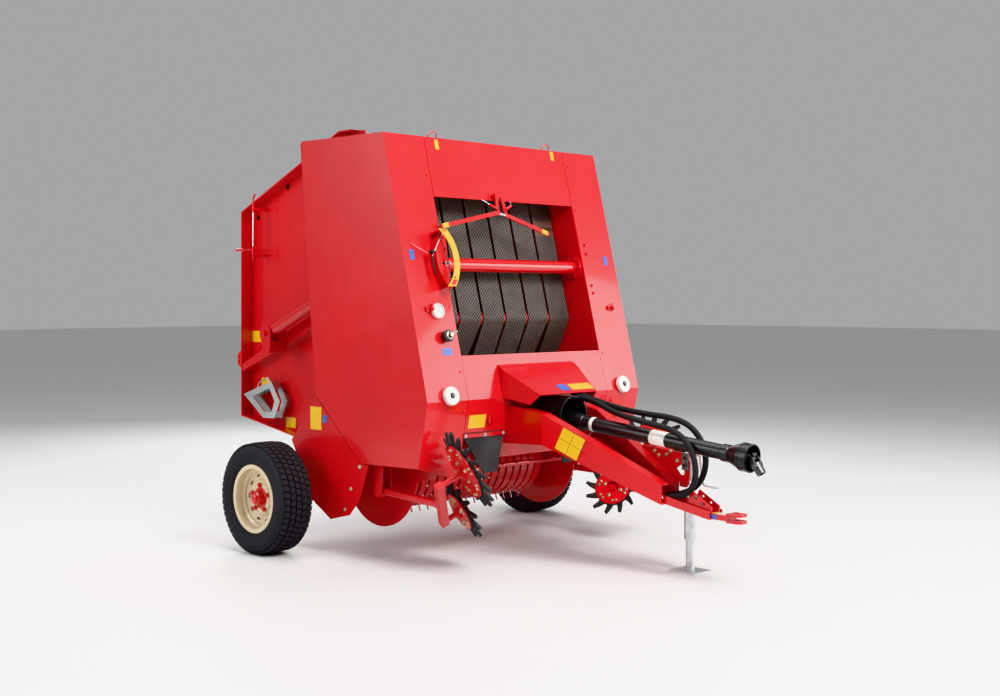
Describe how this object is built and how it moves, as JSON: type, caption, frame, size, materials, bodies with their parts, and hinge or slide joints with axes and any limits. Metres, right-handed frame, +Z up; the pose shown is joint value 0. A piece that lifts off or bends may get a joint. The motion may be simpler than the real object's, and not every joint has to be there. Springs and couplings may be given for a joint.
{
  "type": "round baler",
  "caption": "Trailed round baler with a belt chamber, hinged tailgate, tine pickup, finger gathering wheels and a drawbar on a parking jack.",
  "frame": {"origin": "middle of the machine's overall length and width, on the ground it stands on", "axes": "+X forward to the tractor, +Y to the machine's left, +Z up"},
  "size_m": [3.82, 2.57, 2.6114],
  "materials": {
    "red_paint": "glossy red machine paint",
    "belt_rubber": "woven, diamond-patterned belt",
    "black_rubber": "moulded black rubber",
    "grey_rubber": "worn grey rubber sheet",
    "tyre_rubber": "new tyre",
    "cream_paint": "cream enamel",
    "black_plastic": "moulded black guard",
    "hose_sleeve": "hose in a woven sleeve",
    "bright_steel": "plain machined steel",
    "zinc_plate": "zinc plated",
    "cast_grey": "cast gearbox",
    "yellow_paint": "yellow paint"
  },
  "bodies": {
    "frame": {"chamber_wall_right": "red_paint", "chamber_wall_left": "red_paint", "axle_beam": "red_paint", "cross_beams": "red_paint", "panel_stays": "red_paint", "side_panel_right": "red_paint", "side_panel_left": "red_paint", "lower_guard_right": "red_paint", "lower_guard_left": "red_paint", "front_panels": "red_paint", "crop_flaps": "grey_rubber", "frame_rollers": "red_paint", "front_belts": "belt_rubber", "cylinder_anchors": "red_paint", "gather_hangers": "red_paint", "drawbar_beam_right": "red_paint", "drawbar_beam_left": "red_paint", "drawbar_tongue": "red_paint", "driveline_hood": "red_paint", "gearbox": "cast_grey", "driveline_shroud": "black_plastic", "shaft_guard": "black_plastic", "jack_tube": "zinc_plate", "jack_plate": "red_paint", "window_tube": "red_paint", "shape_arms": "red_paint", "size_indicator": "red_paint", "size_scale": "yellow_paint", "hose_block": "zinc_plate", "hose_near": "hose_sleeve", "hose_far": "hose_sleeve"},
    "tailgate": {"tailgate_side_right": "red_paint", "tailgate_side_left": "red_paint", "tailgate_beams": "red_paint", "tailgate_rollers": "red_paint", "tailgate_belts": "belt_rubber", "gate_latch": "red_paint", "wheel_chock": "zinc_plate"},
    "wheel_right": {"wheel_rim_right": "cream_paint", "wheel_hub_right": "red_paint", "tyre_right": "tyre_rubber"},
    "wheel_left": {"wheel_rim_left": "cream_paint", "wheel_hub_left": "red_paint", "tyre_left": "tyre_rubber"},
    "barrel_right": {"tailgate_cylinder_right": "red_paint"},
    "barrel_left": {"tailgate_cylinder_left": "red_paint"},
    "rod_right": {"tailgate_rod_right": "bright_steel"},
    "rod_left": {"tailgate_rod_left": "bright_steel"},
    "pickup": {"pickup_frame": "red_paint", "pickup_bands": "red_paint"},
    "reel": {"pickup_reel": "red_paint"},
    "gather_right": {"gather_arm_right": "red_paint"},
    "gather_left": {"gather_arm_left": "red_paint"},
    "jack": {"jack_leg": "zinc_plate"},
    "yoke": {"shaft_yoke": "cast_grey"},
    "fingers_right_upper": {"gather_wheel_right_upper": "red_paint"},
    "fingers_right_lower": {"gather_wheel_right_lower": "red_paint"},
    "fingers_left_upper": {"gather_wheel_left_upper": "red_paint"},
    "fingers_left_lower": {"gather_wheel_left_lower": "red_paint"}
  },
  "joints": [
    {"name": "tailgate_open", "type": "hinge", "parent": "frame", "child": "tailgate", "pos_m": [-0.58, 0, 2.52], "axis": [0, 1, 0], "range_deg": [0, 50]},
    {"name": "wheel_right_spin", "type": "hinge", "parent": "frame", "child": "wheel_right", "pos_m": [-0.91, -1.17, 0.34], "axis": [0, 1, 0], "continuous": true},
    {"name": "barrel_right_swing", "type": "hinge", "parent": "tailgate", "child": "barrel_right", "pos_m": [-1.406, -0.79, 1.328], "axis": [0, 1, 0], "range_deg": [-10.01, 3]},
    {"name": "rod_right_slide", "type": "slide", "parent": "barrel_right", "child": "rod_right", "axis": [0.9258, 0, 0.3779], "range_m": [0, 0.6541]},
    {"name": "wheel_left_spin", "type": "hinge", "parent": "frame", "child": "wheel_left", "pos_m": [-0.91, 1.17, 0.34], "axis": [0, 1, 0], "continuous": true},
    {"name": "barrel_left_swing", "type": "hinge", "parent": "tailgate", "child": "barrel_left", "pos_m": [-1.406, 0.79, 1.328], "axis": [0, 1, 0], "range_deg": [-10.01, 3]},
    {"name": "rod_left_slide", "type": "slide", "parent": "barrel_left", "child": "rod_left", "axis": [0.9258, 0, 0.3779], "range_m": [0, 0.6541]},
    {"name": "pickup_lower", "type": "hinge", "parent": "frame", "child": "pickup", "pos_m": [-0.77, 0, 0.5], "axis": [0, 1, 0], "range_deg": [0, 17]},
    {"name": "reel_spin", "type": "hinge", "parent": "pickup", "child": "reel", "pos_m": [-0.41, 0, 0.485], "axis": [0, 1, 0], "continuous": true},
    {"name": "gather_right_lower", "type": "hinge", "parent": "frame", "child": "gather_right", "pos_m": [-0.21, -0.83, 0.415], "axis": [0, 1, 0], "range_deg": [-1, 17]},
    {"name": "fingers_right_upper_spin", "type": "hinge", "parent": "gather_right", "child": "fingers_right_upper", "pos_m": [0.485, -0.826, 0.59], "axis": [-0.3412, -0.8134, -0.4712], "continuous": true},
    {"name": "fingers_right_lower_spin", "type": "hinge", "parent": "gather_right", "child": "fingers_right_lower", "pos_m": [0.297, -0.683, 0.33], "axis": [-0.3412, -0.8134, -0.4712], "continuous": true},
    {"name": "gather_left_lower", "type": "hinge", "parent": "frame", "child": "gather_left", "pos_m": [-0.21, 0.83, 0.415], "axis": [0, 1, 0], "range_deg": [-1, 17]},
    {"name": "fingers_left_upper_spin", "type": "hinge", "parent": "gather_left", "child": "fingers_left_upper", "pos_m": [0.485, 0.826, 0.59], "axis": [-0.3412, 0.8134, -0.4712], "continuous": true},
    {"name": "fingers_left_lower_spin", "type": "hinge", "parent": "gather_left", "child": "fingers_left_lower", "pos_m": [0.297, 0.683, 0.33], "axis": [-0.3412, 0.8134, -0.4712], "continuous": true},
    {"name": "jack_raise", "type": "slide", "parent": "frame", "child": "jack", "axis": [0, 0, 1], "range_m": [-0.1, 0.165]},
    {"name": "yoke_spin", "type": "hinge", "parent": "frame", "child": "yoke", "pos_m": [1.816, 0, 0.709], "axis": [0.9952, 0, -0.0976], "continuous": true}
  ],
  "couplings": [
    {"joint": "barrel_right_swing", "follows": "tailgate_open", "ratio": -0.14022},
    {"joint": "rod_right_slide", "follows": "tailgate_open", "m_per_rad": 0.74494},
    {"joint": "barrel_left_swing", "follows": "tailgate_open", "ratio": -0.14022},
    {"joint": "rod_left_slide", "follows": "tailgate_open", "m_per_rad": 0.74494},
    {"joint": "gather_right_lower", "follows": "pickup_lower", "ratio": 0.94118},
    {"joint": "gather_left_lower", "follows": "pickup_lower", "ratio": 0.94118}
  ]
}
